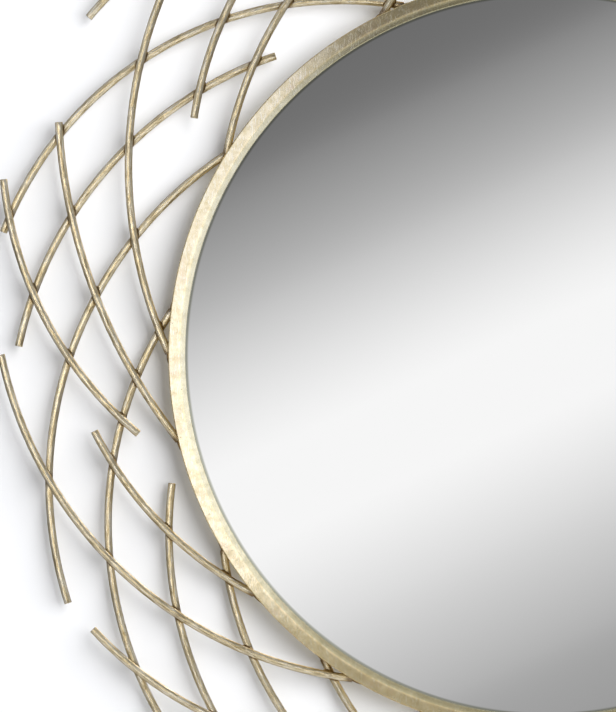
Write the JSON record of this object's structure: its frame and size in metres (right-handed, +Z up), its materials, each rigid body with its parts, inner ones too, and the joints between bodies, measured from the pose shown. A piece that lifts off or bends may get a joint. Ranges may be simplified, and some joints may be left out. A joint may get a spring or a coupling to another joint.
{
  "type": "wall mirror",
  "caption": "Round wall mirror in a flat gilded metal ring, surrounded by an open lattice of bent, crossing metal rods; hangs from a keyhole plate.",
  "frame": {"origin": "the back face of the hanger plate, on the wall's surface, just above the keyhole slot and straight above the mirror's centre", "axes": "+X to the right seen from the front, +Z up; the mirror faces -Y and its back is at the wall plane y = 0"},
  "size_m": [0.8718, 0.022, 0.8534],
  "materials": {
    "gilded_ring": "gold leaf on iron, rubbed, with fine cracks and specks",
    "gilded_rods": "antique champagne gold leaf on iron rod, wrinkled, darker in the crossings",
    "mirror_glass": "silvered flat glass",
    "fibreboard": "raw brown fibreboard",
    "steel": "plain steel sheet",
    "rubber": "black rubber"
  },
  "bodies": {
    "root": {"mirror_ring": "gilded_ring", "mirror_glass": "mirror_glass", "backing_board": "fibreboard", "hanger_plate": "steel", "wall_pad_left": "rubber", "wall_pad_right": "rubber", "board_clip_1": "steel", "board_clip_2": "steel", "board_clip_3": "steel", "board_clip_4": "steel", "board_clip_5": "steel", "board_clip_6": "steel", "front_rod_left_1": "gilded_rods", "front_rod_left_2": "gilded_rods", "front_rod_left_3": "gilded_rods", "front_rod_left_4": "gilded_rods", "front_rod_left_5": "gilded_rods", "front_rod_left_6": "gilded_rods", "front_rod_left_7": "gilded_rods", "front_rod_left_8": "gilded_rods", "front_rod_left_9": "gilded_rods", "front_rod_left_10": "gilded_rods", "front_rod_right_1": "gilded_rods", "front_rod_right_2": "gilded_rods", "front_rod_right_3": "gilded_rods", "front_rod_right_4": "gilded_rods", "front_rod_right_5": "gilded_rods", "front_rod_right_6": "gilded_rods", "front_rod_right_7": "gilded_rods", "front_rod_right_8": "gilded_rods", "front_rod_right_9": "gilded_rods", "front_rod_right_10": "gilded_rods", "back_rod_left_1": "gilded_rods", "back_rod_left_2": "gilded_rods", "back_rod_left_3": "gilded_rods", "back_rod_left_4": "gilded_rods", "back_rod_left_5": "gilded_rods", "back_rod_left_6": "gilded_rods", "back_rod_left_7": "gilded_rods", "back_rod_left_8": "gilded_rods", "back_rod_left_9": "gilded_rods", "back_rod_right_1": "gilded_rods", "back_rod_right_2": "gilded_rods", "back_rod_right_3": "gilded_rods", "back_rod_right_4": "gilded_rods", "back_rod_right_5": "gilded_rods", "back_rod_right_6": "gilded_rods", "back_rod_right_7": "gilded_rods", "back_rod_right_8": "gilded_rods", "back_rod_right_9": "gilded_rods"}
  },
  "joints": []
}
